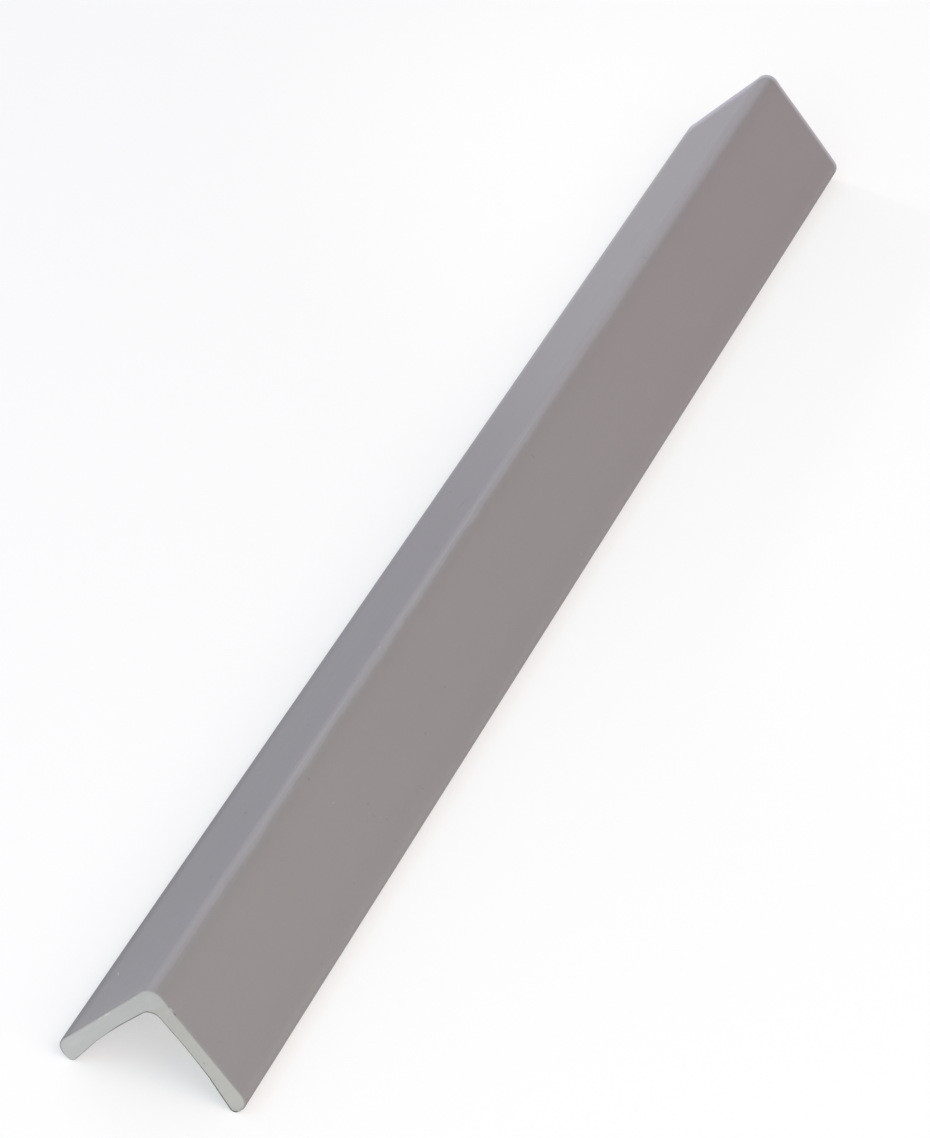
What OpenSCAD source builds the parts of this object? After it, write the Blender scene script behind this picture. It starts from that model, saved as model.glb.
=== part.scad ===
// L-shaped cladding trim: one length of extruded foam profile.
// Two equal legs meet at a rounded corner. Each swells inwards towards its end, which has a wide
// round nose outside and a small round lip inside. The piece lies like a tent, on its two lips,
// with the corner on top.
// The origin is on the floor, below the corner, at half length. X runs along the trim.

/* [Stock] */
// Length of the piece
length = 450; // [300:1:600]
// Width of a leg along its outer face, from the sharp corner that the rounding takes off
leg_width = 40; // [32:0.5:60]
// Angle between the two legs, closed in a little from square so that the trim grips the corner
leg_angle = 82.5; // [75:0.5:100]

/* [Wall] */
// Thickness of a leg
wall = 5.2; // [3.5:0.1:5.8]
// Radius on the outside of the corner
corner_radius = 3.8; // [2:0.1:6]
// Radius in the inside of the corner
fillet_radius = 3; // [1:0.1:4]

/* [Leg end] */
// Thickness of a leg at its end, before the two roundings
end_thickness = 6.5; // [6:0.1:8]
// Width over which a leg swells from its plain wall to its end
swell_width = 11.5; // [6:0.1:15]
// Radius of the nose, on the outside of the end
nose_radius = 3.8; // [2:0.1:4]
// Radius of the lip, on the inside of the end
lip_radius = 1.3; // [0.5:0.1:1.6]

/* [Hidden] */
// Facets of the round stretches, as a preview shows them
$fn = 96;
trim_colour = [0.58, 0.575, 0.59];
half_angle = leg_angle / 2;
// How far an arc runs past the faces that it rounds, so that they cross and don't just touch
bite = 0.01;
// How far a cutter stands out past what it cuts
overrun = 1;

// A leg is drawn along +X with its outer face on y = 0 and its thickness towards +Y.
// The end face stands square to the outer face, and the swelling inner face leans on it.
nose_angle = 90;
lip_angle = nose_angle - atan2(end_thickness - wall, swell_width);
lip_centre = [
    leg_width - lip_radius,
    end_thickness - lip_radius / tan(lip_angle / 2)
];
fillet_touch = (wall + fillet_radius) / tan(half_angle);

// The section lies about x = 0 with its sharp outer corner at the origin and its legs downwards.
fillet_centre = [0, -(wall + fillet_radius) / sin(half_angle)];

// A point of the leg, laid down along the right side of the section
function on_right(point) =
    point[0] * [sin(half_angle), -cos(half_angle)] - point[1] * [cos(half_angle), sin(half_angle)];

// The same point on the left side
function on_left(point) = [-on_right(point)[0], on_right(point)[1]];

// Height of the sharp outer corner above the floor that the lips rest on
apex_height = lip_radius + bite - on_right(lip_centre)[1];

// Both legs with sharp corners, and the inner corner filled to the middle of its rounding
module sharp_section() {
    leg = [
        [leg_width, 0],
        [leg_width, end_thickness],
        [leg_width - swell_width, wall],
        [fillet_touch, wall]
    ];
    last = len(leg) - 1;
    polygon(concat(
        [[0, 0]],
        [for (point = leg) on_right(point)],
        [fillet_centre],
        [for (i = [last:-1:0]) on_left(leg[i])]
    ));
}

// What a rounding takes off a corner that points up from the origin, and the open space past it
module waste_section(angle, radius) {
    half = angle / 2;
    touch = radius / tan(half);
    centre = [0, -radius / sin(half)];
    side = touch * [sin(half), -cos(half)] + overrun * [cos(half), sin(half)];
    difference() {
        polygon([[0, overrun / sin(half)], side, centre, [-side[0], side[1]]]);
        translate(centre)
            circle(r = radius + bite);
    }
}

// The wastes of the two roundings at the end of the right leg
module end_waste_section() {
    rotate(half_angle - 90)
        mirror([0, 1]) {
            translate([leg_width, 0])
                rotate(nose_angle / 2 - 180)
                    waste_section(nose_angle, nose_radius);
            translate([leg_width, end_thickness])
                rotate(-lip_angle / 2)
                    waste_section(lip_angle, lip_radius);
        }
}

// The cutters that round the corner outside and inside and the ends of both legs
module cutters() {
    cutter_length = length + 2 * overrun;
    linear_extrude(height = cutter_length, center = true)
        waste_section(leg_angle, corner_radius);
    for (side = [0, 1])
        mirror([side, 0, 0])
            linear_extrude(height = cutter_length, center = true)
                end_waste_section();
    translate(fillet_centre)
        cylinder(h = cutter_length, r = fillet_radius + bite, center = true);
}

module corner_trim() {
    color(trim_colour)
        translate([0, 0, apex_height])
            rotate([90, 0, 90])
                difference() {
                    linear_extrude(height = length, center = true)
                        sharp_section();
                    cutters();
                }
}

corner_trim();
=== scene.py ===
"""Dressed model of an l-shaped cladding trim: extruded, foamed plastic with a satin grey skin.

The trim lies like a tent on the ends of its two legs, with its outer corner, the fold, on top.
Lengths are in metres, X runs along the trim and Z is up. A leg has coordinates of its own: p runs
from the sharp outer corner along the outer face, and q is the depth below that face. The girth is
the distance over the outer skin from the middle of the fold, positive on the +Y leg.
"""

import logging
import math
from dataclasses import dataclass
from enum import Enum
from functools import cache

import bpy
import numpy as np
from mathutils import Matrix, Vector


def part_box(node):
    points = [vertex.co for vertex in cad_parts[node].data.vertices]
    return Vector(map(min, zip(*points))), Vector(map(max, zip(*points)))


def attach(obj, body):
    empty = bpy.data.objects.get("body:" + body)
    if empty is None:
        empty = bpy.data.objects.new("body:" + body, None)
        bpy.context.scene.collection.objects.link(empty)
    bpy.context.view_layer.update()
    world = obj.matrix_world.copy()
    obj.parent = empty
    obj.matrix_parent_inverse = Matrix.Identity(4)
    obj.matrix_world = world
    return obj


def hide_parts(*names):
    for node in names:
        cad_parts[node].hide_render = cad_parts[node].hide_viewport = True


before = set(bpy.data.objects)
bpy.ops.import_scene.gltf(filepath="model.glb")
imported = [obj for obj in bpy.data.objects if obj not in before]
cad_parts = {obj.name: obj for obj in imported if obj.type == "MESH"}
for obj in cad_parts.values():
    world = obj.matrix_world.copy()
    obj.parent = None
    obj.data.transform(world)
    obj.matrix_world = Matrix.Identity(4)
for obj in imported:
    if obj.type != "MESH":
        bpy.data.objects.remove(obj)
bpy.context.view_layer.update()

logging.basicConfig(level=logging.INFO, format="%(message)s")
log = logging.getLogger("cladding_trim")

MM = 0.001
NODE = "corner_trim"
QUARTER_TURN = math.pi / 2
NOISE_MIDDLE = 0.5

Colour = tuple[float, float, float]
Point = tuple[float, float] | np.ndarray
Lengths = tuple[float, ...]
Stops = tuple[tuple[float, float], ...]
Socket = bpy.types.NodeSocket
Value = Socket | float | tuple

WHITE: Colour = (1.0, 1.0, 1.0)


def mm(*lengths: float) -> Lengths:
    """Returns lengths in metres for lengths in millimetres."""
    return tuple(length * MM for length in lengths)


def in_scene(name: str, data: bpy.types.ID) -> bpy.types.Object:
    """Makes an object and adds it to the scene.

    Args:
        name: Name of the object.
        data: Its mesh, light or camera.

    Returns:
        The object, at the origin.
    """
    made = bpy.data.objects.new(name, data)
    bpy.context.scene.collection.objects.link(made)
    return made


class Leg(Enum):
    """The two legs, by the side of the fold that they are on."""

    RIGHT = -1
    LEFT = 1


class Surface(Enum):
    """The material slots of the trim, in their order."""

    SKIN = 0
    CUT = 1


@dataclass
class Chain:
    """Points in order along an outline, each with the unit normal that points out of the stock."""

    points: np.ndarray
    normals: np.ndarray

    def girth(self) -> np.ndarray:
        """Measures the distance along the chain.

        Returns:
            The distance of each point from the middle one, with its sign.
        """
        steps = np.linalg.norm(np.diff(self.points, axis=0), axis=1)
        run = np.concatenate([[0.0], np.cumsum(steps)])
        return run - run[len(run) // 2]

    def moved_in(self, depth: np.ndarray) -> np.ndarray:
        """Moves the points inwards: point minus depth times normal.

        Args:
            depth: Depths, one row for each point and one column for each station.

        Returns:
            Places with the shape (points, stations, 2).
        """
        return self.points[:, None] - depth[..., None] * self.normals[:, None]

    def distance(self, places: np.ndarray, blocks: int = 40) -> np.ndarray:
        """Measures how far places lie from the chain.

        For each side of the chain, the nearest point is its start plus the side times t, with t
        the projection on the side kept between 0 and 1. The least distance counts.

        Args:
            places: Rows of two coordinates.
            blocks: Number of blocks that they are worked out in, which saves memory.

        Returns:
            One distance for each place.
        """
        corner = self.points[:-1]
        side = np.diff(self.points, axis=0)
        least = np.full(len(places), np.inf)
        for block in np.array_split(np.arange(len(places)), blocks):
            gap = places[block][:, None] - corner[None]
            share = np.clip((gap * side).sum(-1) / (side**2).sum(-1), 0.0, 1.0)
            least[block] = np.linalg.norm(gap - share[..., None] * side, axis=-1).min(axis=1)
        return least


def arc(centre: Point, radius: float, start: float, stop: float, steps: int,
        hollow: bool = False) -> Chain:
    """Makes a circular arc: centre plus radius times (cos a, sin a), for a from start to stop.

    Args:
        centre: Centre of the arc.
        radius: Radius of the arc.
        start: First angle, in radians.
        stop: Last angle, in radians.
        steps: Number of sides.
        hollow: True where the stock lies outside the circle.

    Returns:
        The arc, with normals away from the centre, or towards it where hollow.
    """
    angle = np.linspace(start, stop, steps + 1)
    outwards = np.stack([np.cos(angle), np.sin(angle)], axis=1)
    return Chain(centre + radius * outwards, -outwards if hollow else outwards)


def straight(start: Point, stop: Point, normal: Point, steps: int,
             crowding: float = 1.0) -> Chain:
    """Makes a straight run: start plus (stop - start) times t to the power crowding, t from 0 to 1.

    Args:
        start: First point.
        stop: Last point.
        normal: Unit normal of the whole run.
        steps: Number of sides.
        crowding: Over 1 draws the points towards the start.

    Returns:
        The run.
    """
    share = np.linspace(0.0, 1.0, steps + 1)[:, None] ** crowding
    points = start + np.subtract(stop, start) * share
    return Chain(points, np.broadcast_to(normal, points.shape))


def joined(*chains: Chain) -> Chain:
    """Joins chains end to end and drops the repeated point at each joint.

    Args:
        chains: Chains where each starts at the last point of the one before.

    Returns:
        One chain.
    """
    points = [chains[0].points] + [c.points[1:] for c in chains[1:]]
    normals = [chains[0].normals] + [c.normals[1:] for c in chains[1:]]
    return Chain(np.concatenate(points), np.concatenate(normals))


@dataclass
class TrimSection:
    """Section of the trim: two equal legs that swell inwards to a round nose and a small lip."""

    leg_width: float = 40 * MM
    leg_angle: float = math.radians(82.5)
    wall: float = 5.2 * MM
    corner_radius: float = 3.8 * MM
    fillet_radius: float = 3 * MM
    end_thickness: float = 6.5 * MM
    swell_width: float = 11.5 * MM
    nose_radius: float = 3.8 * MM
    lip_radius: float = 1.3 * MM
    fold_steps: int = 24
    face_steps: int = 22
    nose_steps: int = 10
    swell_steps: int = 8
    lip_steps: int = 8
    face_crowding: float = 1.35

    @property
    def half_angle(self) -> float:
        """Angle between a leg and the middle plane of the trim."""
        return self.leg_angle / 2

    @property
    def flat_steps(self) -> int:
        """Steps along the flat inner wall, so that a leg has as many inside as outside."""
        return self.face_steps + self.nose_steps - self.swell_steps - self.lip_steps

    def outer_chain(self) -> Chain:
        """Draws the outside of a leg in (p, q).

        In order: half the arc of the fold, the flat face, and the arc of the nose.

        Returns:
            The chain from the middle of the fold to the end face.
        """
        fold_end = self.corner_radius / math.tan(self.half_angle)
        nose_start = self.leg_width - self.nose_radius
        return joined(
            arc((fold_end, self.corner_radius), self.corner_radius, self.half_angle - math.pi,
                -QUARTER_TURN, self.fold_steps),
            straight((fold_end, 0.0), (nose_start, 0.0), (0.0, -1.0), self.face_steps,
                     self.face_crowding),
            arc((nose_start, self.nose_radius), self.nose_radius, -QUARTER_TURN, 0.0,
                self.nose_steps),
        )

    def inner_chain(self) -> Chain:
        """Draws the inside of a leg in (p, q).

        In order: half the arc of the fillet, the flat wall, the swelling face, and the arc of the
        lip.

        Returns:
            The chain from the middle of the fillet to the end face.
        """
        depth = self.wall + self.fillet_radius
        fillet_end = depth / math.tan(self.half_angle)
        lean = math.atan2(self.end_thickness - self.wall, self.swell_width)
        lip_back = self.lip_radius * math.tan((QUARTER_TURN + lean) / 2)
        lip_centre = np.array([self.leg_width - self.lip_radius, self.end_thickness - lip_back])
        swell_start = (self.leg_width - self.swell_width, self.wall)
        swell_normal = np.array([-math.sin(lean), math.cos(lean)])
        return joined(
            arc((fillet_end, depth), self.fillet_radius, self.half_angle - math.pi, -QUARTER_TURN,
                self.fold_steps, hollow=True),
            straight((fillet_end, self.wall), swell_start, (0.0, 1.0), self.flat_steps),
            straight(swell_start, lip_centre + self.lip_radius * swell_normal, swell_normal,
                     self.swell_steps),
            arc(lip_centre, self.lip_radius, QUARTER_TURN + lean, 0.0, self.lip_steps),
        )

    def lip_drop(self) -> float:
        """Returns how far below the sharp outer corner the lips reach."""
        return -float((self.inner_chain().points @ self.axes(Leg.LEFT))[:, 1].min())

    def axes(self, leg: Leg) -> np.ndarray:
        """Gives the directions of p and q in the plane of the section.

        Args:
            leg: The leg.

        Returns:
            Two rows, (Y, Z) of one step along p and of one step along q.
        """
        sine, cosine = math.sin(self.half_angle), math.cos(self.half_angle)
        return np.array([[leg.value * sine, -cosine], [-leg.value * cosine, -sine]])

    def both_legs(self, chain: Chain) -> Chain:
        """Lays a leg's chain on both sides of the fold.

        Args:
            chain: A chain in (p, q) that starts on the middle plane.

        Returns:
            The chain in (Y, Z) from the end of the right leg over the fold to the left one, with
            its origin at the sharp outer corner.
        """
        right, left = self.axes(Leg.RIGHT), self.axes(Leg.LEFT)
        return Chain(*(np.concatenate([(rows @ right)[:0:-1], rows @ left])
                       for rows in (chain.points, chain.normals)))


@dataclass
class Relief:
    """Slight unevenness of the skin: far below a millimetre outside, and a faint hollow inside."""

    ridge_rise: float = 0.05 * MM
    ridge_place: float = -1.0 * MM
    ridge_width: float = 0.4 * MM
    ridge_wander: float = 0.17 * MM
    ridge_waves: Lengths = mm(83, 37, 21, 13)
    ridge_phase: float = 1.7
    ridge_loss: float = 0.4
    ridge_level: float = 1.2
    calm_start: float = 20 * MM
    calm_width: float = 130 * MM
    calm_strength: float = 0.2
    sink_depth: float = 0.09 * MM
    sink_place: float = 5.5 * MM
    sink_steep: float = 3.0 * MM
    sink_gentle: float = 9.0 * MM
    rim_start: float = 26.0 * MM
    rim_width: float = 11.0 * MM
    rim_drop: float = 0.2 * MM
    rim_bow: float = 0.65
    half_length: float = 225 * MM
    wave_depth: float = 0.02 * MM
    wave_length: float = 70 * MM
    waves: tuple[tuple[float, float, float], ...] = ((1.0, 1.0, 40.0), (0.6, 2.3, -25.0))
    hollow_depth: float = 0.4 * MM
    hollow_place: float = 13.0 * MM
    hollow_width: float = 8.5 * MM

    def hollow(self, girth: np.ndarray) -> np.ndarray:
        """Returns how far an inner face is drawn in: exp(-d squared) of the way to its middle."""
        away = (np.abs(girth) - self.hollow_place) / self.hollow_width
        return self.hollow_depth * np.exp(-(away**2))

    def depth(self, along: np.ndarray, girth: np.ndarray) -> np.ndarray:
        """Works out how far the outer skin lies below the true section.

        The formula adds four parts: minus a ridge along the right side of the fold, exp(-d
        squared) of the distance to a wandering line; a sink beside the fold, exp(-d squared) too,
        steep on the fold's side and gentle on the other; on the right leg a smooth step, t squared
        times (3 - 2 t), from the flat face to the rim, that gets lower towards both ends; and slow
        sine waves along the length, each with its size, its rate and its slant over the skin.

        Args:
            along: X of each station.
            girth: Distance over the skin from the middle of the fold, with its sign.

        Returns:
            Depths, one row for each girth and one column for each station.
        """
        girth = girth[:, None]
        away = np.abs(girth)
        line, strength = self.ridge_line(along)
        rise = self.ridge_rise * strength * np.exp(-(((girth - line) / self.ridge_width) ** 2))
        width = np.where(away < self.sink_place, self.sink_steep, self.sink_gentle)
        sink = self.sink_depth * np.exp(-(((away - self.sink_place) / width) ** 2))
        step = np.clip((away - self.rim_start) / self.rim_width, 0.0, 1.0)
        drop = self.rim_drop * (1 - self.rim_bow * (along[None, :] / self.half_length) ** 2)
        rim = drop * step**2 * (3 - 2 * step) * (girth < 0)
        phase = 2 * math.pi * along[None, :] / self.wave_length
        slow = sum(size * np.sin(rate * phase + slant * girth) for size, rate, slant in self.waves)
        most = sum(size for size, _, _ in self.waves)
        wave = self.wave_depth * (slow + most) / (2 * most)
        return sink + rim - rise + wave * np.clip(away / self.sink_place, 0.0, 1.0)

    def ridge_line(self, along: np.ndarray) -> tuple[np.ndarray, np.ndarray]:
        """Works out where the ridge runs and how strong it is.

        Its girth is a fixed one plus a sum of waves along X, twice the size of a sine minus a
        level, whose cusps are as sharp as those of a crumpled film. Its strength falls in a
        straight line from 1 to the calm strength over the far half of the length.

        Args:
            along: X of each station.

        Returns:
            Girth and strength of the ridge, one row with one column for each station.
        """
        total = np.zeros(len(along))
        for order, length in enumerate(self.ridge_waves):
            wave = np.sin(math.pi * along / length + self.ridge_phase * order)
            total += (2 * np.abs(wave) - self.ridge_level) / (1 + self.ridge_loss * order)
        strength = 1 - (along - self.calm_start) / self.calm_width
        strength = np.clip(strength, self.calm_strength, 1.0)
        line = self.ridge_place + self.ridge_wander * strength * total
        return line[None, :], strength[None, :]


@dataclass(frozen=True)
class Chip:
    """Small piece of skin that has broken off the near cut edge of the right leg."""

    girth: float = -7.0 * MM
    half_width: float = 0.6 * MM
    reach: float = 0.22 * MM
    depth: float = 0.1 * MM

    def mask(self, from_edge: np.ndarray, girth: np.ndarray) -> np.ndarray:
        """Works out where the skin is missing.

        The mask is 1 minus the squared distances across and along, each as a share of the chip's
        size, cut off at 0.

        Args:
            from_edge: Distance of each station from the near cut.
            girth: Girth of each point of the outline.

        Returns:
            The mask, one row for each girth and one column for each station.
        """
        across = ((girth - self.girth) / self.half_width)[:, None]
        back = (from_edge / self.reach)[None, :]
        return np.clip(1.0 - across**2 - back**2, 0.0, 1.0)


@dataclass
class NodeTree:
    """Short calls for adding nodes to the tree of a material, a world or a node group."""

    TONE_RANGE = 1.25

    tree: bpy.types.NodeTree

    @classmethod
    def emptied(cls, owner: bpy.types.Material | bpy.types.World) -> "NodeTree":
        """Clears the nodes of a material or world.

        Args:
            owner: The material or world.

        Returns:
            The calls for its tree.
        """
        owner.use_nodes = True
        owner.node_tree.nodes.clear()
        return cls(owner.node_tree)

    def add(self, kind: str, *values: Value, **settings: object) -> bpy.types.Node:
        """Adds a node, sets its properties and feeds its first inputs.

        Args:
            kind: Blender's name of the node's class, after "ShaderNode".
            values: The first inputs, in order.
            settings: Properties and their values.

        Returns:
            The node.
        """
        node = self.tree.nodes.new("ShaderNode" + kind)
        for name, setting in settings.items():
            setattr(node, name, setting)
        for socket, value in zip(node.inputs, values):
            self.feed(socket, value)
        return node

    def feed(self, socket: Socket, value: Value) -> None:
        """Links a socket to a value, or sets its default where the value is a constant.

        Args:
            socket: The input.
            value: Another node's output, a number, a vector, or a colour without its alpha.
        """
        if isinstance(value, bpy.types.NodeSocket):
            self.tree.links.new(value, socket)
        elif socket.type == "RGBA":
            socket.default_value = (*value, 1.0)
        else:
            socket.default_value = value

    def fill(self, node: bpy.types.Node, **inputs: Value) -> bpy.types.Node:
        """Feeds a node's inputs by name.

        Args:
            node: The node.
            inputs: Values by the name of the input, with _ for a space.

        Returns:
            The same node.
        """
        for name, value in inputs.items():
            self.feed(node.inputs[name.replace("_", " ")], value)
        return node

    def place(self, group: bpy.types.NodeTree, **inputs: Value) -> Socket:
        """Places a node group, feeds its inputs by name and returns what it puts out."""
        return self.fill(self.add("Group", node_tree=group), **inputs).outputs[0]

    def math(self, operation: str, *values: Value, clamp: bool = False) -> Socket:
        """Works out one operation, and keeps the result between 0 and 1 where clamp is true."""
        return self.add("Math", *values, operation=operation, use_clamp=clamp).outputs[0]

    def plus(self, first: Value, second: Value) -> Socket:
        """Returns the first value plus the second."""
        return self.math("ADD", first, second)

    def minus(self, first: Value, second: Value) -> Socket:
        """Returns the first value minus the second."""
        return self.math("SUBTRACT", first, second)

    def times(self, first: Value, second: Value) -> Socket:
        """Returns the first value times the second."""
        return self.math("MULTIPLY", first, second)

    def over(self, first: Value, second: Value) -> Socket:
        """Returns the first value divided by the second."""
        return self.math("DIVIDE", first, second)

    def line(self, value: Value, gain: Value, base: Value) -> Socket:
        """Returns the value times the gain, plus the base."""
        return self.math("MULTIPLY_ADD", value, gain, base)

    def squared(self, value: Value) -> Socket:
        """Returns the value times itself."""
        return self.math("POWER", value, 2.0)

    def mix(self, share: Value, first: Value, second: Value, blend: str = "MIX") -> Socket:
        """Mixes two colours.

        Args:
            share: Share of the second colour.
            first: First colour.
            second: Second colour.
            blend: Blend type.

        Returns:
            The mixed colour.
        """
        node = self.add("Mix", share, data_type="RGBA", blend_type=blend)
        takers = [socket for socket in node.inputs if socket.type == "RGBA"]
        for socket, colour in zip(takers, (first, second)):
            self.feed(socket, colour)
        return next(socket for socket in node.outputs if socket.type == "RGBA")

    def tinted(self, colour: Value, tones: Socket) -> Socket:
        """Multiplies a colour by a tone, or by the tones of its three channels."""
        return self.mix(1.0, colour, tones, "MULTIPLY")

    def ramp(self, value: Value, low: Value, high: Value, to_low: Value = 0.0,
             to_high: Value = 1.0) -> Socket:
        """Carries a value from one range over to another, smoothly.

        Args:
            value: The value.
            low: Lower end of its range.
            high: Upper end of its range.
            to_low: Result at the lower end.
            to_high: Result at the upper end.

        Returns:
            The result.
        """
        return self.add("MapRange", value, low, high, to_low, to_high,
                        interpolation_type="SMOOTHSTEP").outputs[0]

    def tones(self, value: Socket, stops: Stops) -> Socket:
        """Looks up a tone on a smooth curve through stops, with a Color Ramp.

        Args:
            value: Where to look.
            stops: Pairs of a value, in rising order, and the tone there, at most TONE_RANGE.

        Returns:
            The tone.
        """
        low, high = stops[0][0], stops[-1][0]
        share = self.add("MapRange", value, low, high).outputs[0]
        node = self.add("ValToRGB", share)
        node.color_ramp.interpolation = "CARDINAL"
        points = node.color_ramp.elements
        for place, _ in stops[1:-1]:
            points.new((place - low) / (high - low))
        for point, (_, tone) in zip(points, stops):
            point.color = (*[tone / self.TONE_RANGE] * 3, 1.0)
        return self.times(node.outputs[0], self.TONE_RANGE)

    def fade(self, value: Socket, first: Stops, second: Stops, share: Socket) -> Socket:
        """Goes over from one curve of tones to another.

        Args:
            value: Where to look on both curves.
            first: Stops of the first curve.
            second: Stops of the second curve.
            share: Share of the second curve.

        Returns:
            The first tone times (1 - share), plus the second tone times share.
        """
        before = self.times(self.tones(value, first), self.minus(1.0, share))
        return self.line(self.tones(value, second), share, before)

    def vector(self, x: Value, y: Value, z: Value = 0.0) -> Socket:
        """Combines three values into a vector or a colour."""
        return self.add("CombineXYZ", x, y, z).outputs[0]

    def split(self, vector: Socket) -> tuple[Socket, ...]:
        """Returns the three parts of a vector."""
        return tuple(self.add("SeparateXYZ", vector).outputs)

    def object_place(self) -> Socket:
        """Returns the place in the object's own coordinates."""
        return self.add("TexCoord").outputs["Object"]

    def attribute(self, name: str) -> Socket:
        """Returns a value that the mesh carries."""
        return self.add("Attribute", attribute_name=name).outputs["Fac"]

    def noise(self, dimensions: str = "3D", **inputs: Value) -> Socket:
        """Adds a Noise Texture in 1D, 2D or 3D and returns its value, around 0.5."""
        return self.fill(self.add("TexNoise", noise_dimensions=dimensions), **inputs).outputs["Fac"]

    def swing(self, dimensions: str, **inputs: Value) -> Socket:
        """Returns the same noise carried over to the range from -1 to 1."""
        return self.line(self.noise(dimensions, **inputs), 2.0, -1.0)

    def bump(self, height: Socket) -> Socket:
        """Turns a height in metres into a normal."""
        return self.fill(self.add("Bump"), Strength=1.0, Distance=1.0, Height=height).outputs[0]

    def plastic(self, **inputs: Value) -> None:
        """Ends a material with a Principled BSDF, whose inputs are given by name."""
        shader = self.fill(self.add("BsdfPrincipled"), **inputs)
        self.add("OutputMaterial", shader.outputs[0])


def new_group(name: str, output: str,
              **inputs: float | Colour) -> tuple[NodeTree, Socket, list[Socket]]:
    """Starts a shader node group that puts out one value.

    Args:
        name: Name of the group.
        output: Name of its output.
        inputs: Default values of its inputs by name, with _ for a space. A number makes a value
            and three numbers make a vector.

    Returns:
        The calls for its tree, the socket that takes its result, and its inputs in their order.
    """
    group = bpy.data.node_groups.new(name, "ShaderNodeTree")
    for label, default in inputs.items():
        kind = "NodeSocketVector" if isinstance(default, tuple) else "NodeSocketFloat"
        socket = group.interface.new_socket(name=label.replace("_", " "), in_out="INPUT",
                                            socket_type=kind)
        socket.default_value = default
    group.interface.new_socket(name=output, in_out="OUTPUT", socket_type="NodeSocketFloat")
    source = group.nodes.new("NodeGroupInput")
    result = group.nodes.new("NodeGroupOutput").inputs[0]
    return NodeTree(group), result, list(source.outputs)[:len(inputs)]


@cache
def mottle_group() -> bpy.types.NodeTree:
    """Builds the soft cloudiness of foamed plastic.

    It is a coarse noise times (1 - Mix) plus a fine one times Mix.

    Returns:
        A group that puts out a factor around 1 to multiply a colour with.
    """
    nodes, out, (place, coarse, fine, mix, amount) = new_group(
        "Mottle", "Factor", Place=(0.0, 0.0, 0.0), Coarse=40.0, Fine=600.0, Mix=0.5, Amount=0.03)
    clouds, grains = (nodes.noise(Vector=place, Scale=scale, Detail=3.0)
                      for scale in (coarse, fine))
    both = nodes.line(grains, mix, nodes.times(clouds, nodes.minus(1.0, mix)))
    nodes.feed(out, nodes.line(nodes.minus(both, NOISE_MIDDLE), nodes.times(amount, 2.0), 1.0))
    return nodes.tree


@cache
def draw_lines_group() -> bpy.types.NodeTree:
    """Builds fine lines that run one way: noise on a plane whose Along axis is stretched.

    Returns:
        A group that puts out a value between 0 and 1, around 0.5.
    """
    nodes, out, (along, across, along_scale, across_scale, detail) = new_group(
        "Draw lines", "Value", Along=0.0, Across=0.0, Along_scale=6.0, Across_scale=1500.0,
        Detail=3.0)
    place = nodes.vector(nodes.times(along, along_scale), nodes.times(across, across_scale))
    nodes.feed(out, nodes.noise("2D", Vector=place, Scale=1.0, Detail=detail))
    return nodes.tree


@cache
def crease_group() -> bpy.types.NodeTree:
    """Builds a fine ridge that wanders along a line.

    The height is exp(-d squared), with d the distance across to the wandering line as a share of
    the ridge's half width, times a slower noise along the line that lets the ridge fade in and out.

    Returns:
        A group that puts out the ridge's height, between 0 and 1.
    """
    other_seed, slower, faded, full = 7.0, 0.6, 0.42, 0.6
    nodes, out, (along, across, line, wander, half_width, scale, seed) = new_group(
        "Crease", "Height", Along=0.0, Across=0.0, Line=0.0, Wander=0.0011, Half_width=0.00014,
        Wander_scale=22.0, Seed=0.0)
    drift = nodes.swing("2D", Vector=nodes.vector(along, seed), Scale=scale)
    share = nodes.over(nodes.minus(across, nodes.line(drift, wander, line)), half_width)
    bell = nodes.math("POWER", math.e, nodes.times(nodes.squared(share), -1.0))
    strength = nodes.noise("2D", Vector=nodes.vector(along, nodes.plus(seed, other_seed)),
                           Scale=nodes.times(scale, slower))
    nodes.feed(out, nodes.times(bell, nodes.ramp(strength, faded, full)))
    return nodes.tree


@cache
def band_group() -> bpy.types.NodeTree:
    """Builds a band with a ragged, soft border along an edge.

    The distance to the edge gets a noise along the edge, and the mask falls smoothly from 1, where
    that sum is at Solid, to 0, where it is at Gone.

    Returns:
        A group that puts out the mask, between 0 and 1.
    """
    nodes, out, (distance, solid, gone, along, raggedness, scale) = new_group(
        "Edge band", "Mask", Distance=0.0, Solid=0.0002, Gone=0.0006, Along=0.0,
        Raggedness=0.0001, Scale=300.0)
    ragged = nodes.times(nodes.swing("1D", W=along, Scale=scale), raggedness)
    nodes.feed(out, nodes.ramp(nodes.plus(distance, ragged), solid, gone, 1.0, 0.0))
    return nodes.tree


@cache
def spot_group() -> bpy.types.NodeTree:
    """Builds one soft-edged oval spot on a surface.

    The mask is 1 minus the squared distances to the middle, each as a share of the half size.

    Returns:
        A group that puts out the mask, between 0 and 1.
    """
    nodes, out, (along, across, middle_along, middle_across, half_length, half_breadth, slant) = (
        new_group("Spot", "Mask", Along=0.0, Across=0.0, Middle_along=0.0, Middle_across=0.0,
                  Half_length=0.001, Half_breadth=0.001, Slant=0.0))
    aside = nodes.minus(across, middle_across)
    leant = nodes.line(aside, slant, nodes.minus(along, middle_along))
    far = nodes.plus(nodes.squared(nodes.over(leant, half_length)),
                     nodes.squared(nodes.over(aside, half_breadth)))
    nodes.feed(out, nodes.math("SUBTRACT", 1.0, far, clamp=True))
    return nodes.tree


@dataclass(frozen=True)
class Spot:
    """A small mark: its place along and across a surface, its size and its tone, in millimetres.

    A tone under 1 is darker than the surface around it.
    """

    along: float
    across: float
    length: float
    breadth: float
    tone: float
    slant: float = 0.0


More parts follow.
